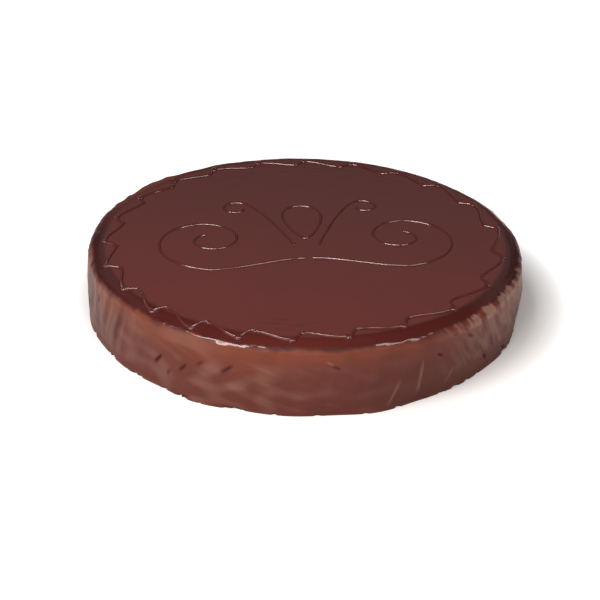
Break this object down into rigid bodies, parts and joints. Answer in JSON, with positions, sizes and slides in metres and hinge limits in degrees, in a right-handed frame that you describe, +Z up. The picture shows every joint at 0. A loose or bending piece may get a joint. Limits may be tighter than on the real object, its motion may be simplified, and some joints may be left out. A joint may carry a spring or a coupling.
{
  "type": "whole chocolate-glazed torte",
  "caption": "Round uncut chocolate torte under a poured glaze, with a piped running-wave border and a thin mirrored scroll on its level top.",
  "frame": {"origin": "centre of the flat underside", "axes": "+Z up, +X to the right and +Y to the back as the scroll on the top is seen upright"},
  "size_m": [0.2814, 0.2856, 0.0467],
  "materials": {
    "poured_glaze": "glossy poured chocolate glaze",
    "piped_glaze": "glossy piped chocolate thread"
  },
  "bodies": {
    "root": {"cake": "poured_glaze", "piped_border": "piped_glaze", "scroll_volute_left": "piped_glaze", "scroll_volute_right": "piped_glaze", "scroll_tendril_left": "piped_glaze", "scroll_tendril_right": "piped_glaze", "scroll_bud": "piped_glaze"}
  },
  "joints": []
}
